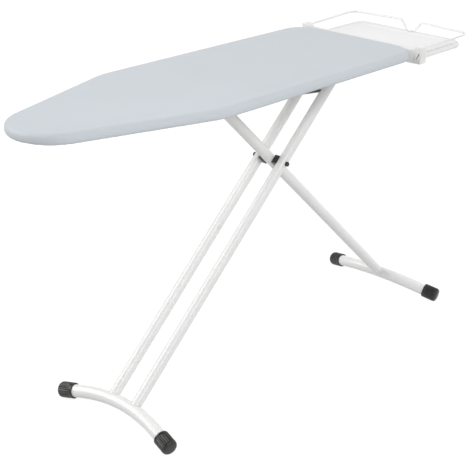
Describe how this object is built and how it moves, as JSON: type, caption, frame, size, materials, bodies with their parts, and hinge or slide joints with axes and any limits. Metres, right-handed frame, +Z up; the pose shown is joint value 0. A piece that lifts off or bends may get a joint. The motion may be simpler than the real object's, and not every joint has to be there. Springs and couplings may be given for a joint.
{
  "type": "ironing board",
  "caption": "Folding ironing board: padded pointed top on an X of steel tubes with bowed feet, height-setting rail and lever, and an iron rest with a guard wire at the tail.",
  "frame": {"origin": "on the floor, under the middle of the whole object's box", "axes": "+X along the board from its pointed nose to the iron rest, +Y away from the user, +Z up"},
  "size_m": [1.4748, 0.42, 0.8491],
  "materials": {
    "cover_cloth": "woven cotton, pale blue-grey, soft matt",
    "foam": "open-cell foam",
    "white_paint": "white powder coat, semi-gloss",
    "plate_paint": "light grey-white powder coat, satin",
    "white_plastic": "white moulded plastic",
    "black_plastic": "black moulded plastic",
    "zinc_steel": "zinc-plated steel"
  },
  "bodies": {
    "board": {"ironing_cover": "cover_cloth", "foam_pad": "foam", "steel_deck": "white_paint", "deck_rim": "white_paint", "crossbar_rail_front": "white_paint", "crossbar_rail_rear": "white_paint", "crossbar_hinge": "white_paint", "crossbar_tail": "white_paint", "height_rail": "white_paint", "hinge_bracket_front": "white_paint", "hinge_bracket_back": "white_paint", "hinge_pin_front": "zinc_steel", "hinge_pin_back": "zinc_steel", "lever_bracket": "white_paint", "lever_spring": "zinc_steel", "tail_beam": "white_paint", "beam_carrier_front": "white_paint", "beam_carrier_back": "white_paint", "rest_corner_front": "white_plastic", "rest_corner_back": "white_plastic", "rest_frame_tube": "white_paint", "rest_plate": "plate_paint", "guard_wire": "white_paint"},
    "twin_leg": {"twin_tube_front": "white_paint", "twin_tube_back": "white_paint", "nose_foot_tube": "white_paint", "nose_foot_cap_front": "black_plastic", "nose_foot_cap_back": "black_plastic", "twin_top_plug_front": "black_plastic", "twin_top_plug_back": "black_plastic", "pivot_rod": "zinc_steel", "pivot_spacer_front": "black_plastic", "pivot_spacer_back": "black_plastic", "pivot_end_cap_front": "black_plastic", "pivot_end_cap_back": "black_plastic"},
    "single_leg": {"single_tube": "white_paint", "tail_foot_tube": "white_paint", "tail_foot_cap_front": "black_plastic", "tail_foot_cap_back": "black_plastic", "slide_pin": "zinc_steel", "slide_bush_front": "white_plastic", "slide_bush_back": "white_plastic", "single_top_plug": "black_plastic"},
    "lever": {"lever_rod": "zinc_steel", "lever_grip": "black_plastic", "height_rack": "zinc_steel"}
  },
  "joints": [
    {"name": "leg_fold", "type": "hinge", "parent": "board", "child": "twin_leg", "pos_m": [0.3363, 0, 0.7797], "axis": [0, -1, 0], "range_deg": [-43, 7]},
    {"name": "center_hinge", "type": "hinge", "parent": "twin_leg", "child": "single_leg", "pos_m": [0.10614, 0, 0.56507], "axis": [0, 1, 0], "range_deg": [-86, 14]},
    {"name": "lever_lift", "type": "hinge", "parent": "board", "child": "lever", "pos_m": [-0.02297, -0.085, 0.8044], "axis": [0, -1, 0], "range_deg": [0, 8], "stiffness_Nm_per_rad": 2, "springref_deg": -11.46}
  ],
  "couplings": [
    {"joint": "center_hinge", "follows": "leg_fold", "ratio": 2}
  ]
}
